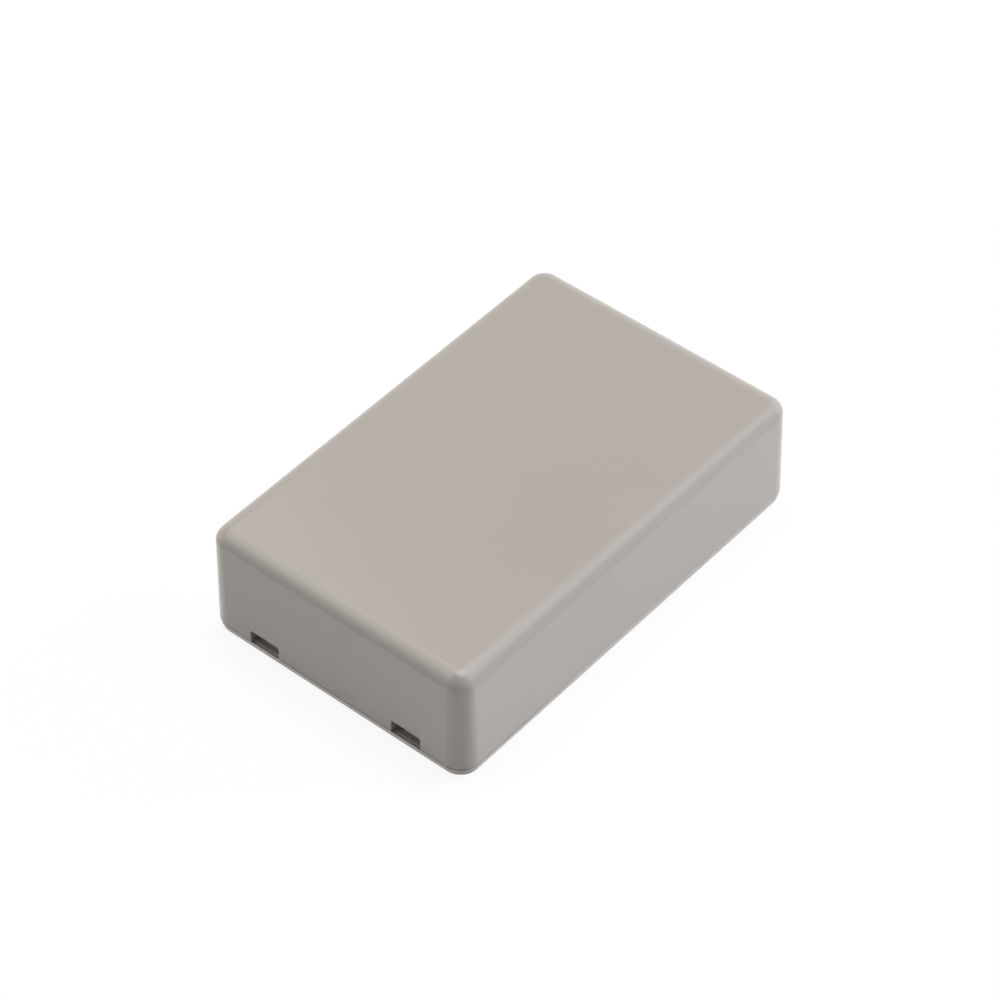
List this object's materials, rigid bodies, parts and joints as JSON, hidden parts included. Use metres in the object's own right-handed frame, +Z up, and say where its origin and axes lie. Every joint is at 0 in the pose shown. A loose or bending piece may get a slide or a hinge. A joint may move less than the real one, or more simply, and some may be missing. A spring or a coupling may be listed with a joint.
{
  "type": "plastic project box",
  "caption": "Small snap-fit plastic project box: a deep rounded cover over a flat base plate with a locating lip, snap arms behind release notches, and board posts.",
  "frame": {"origin": "middle of the base plate's underside, which is the face that the box stands on", "axes": "+X along the box's length, +Y along its width, +Z up through the base plate and the cover, the way the cover lifts off"},
  "size_m": [0.07, 0.045, 0.018],
  "materials": {
    "moulded_abs": "satin moulded, warm grey"
  },
  "bodies": {
    "base": {"base_plate": "moulded_abs"},
    "cover": {"top_cover": "moulded_abs"}
  },
  "joints": [
    {"name": "cover_lift", "type": "slide", "parent": "base", "child": "cover", "axis": [0, 0, 1], "range_m": [0, 0.03]}
  ]
}
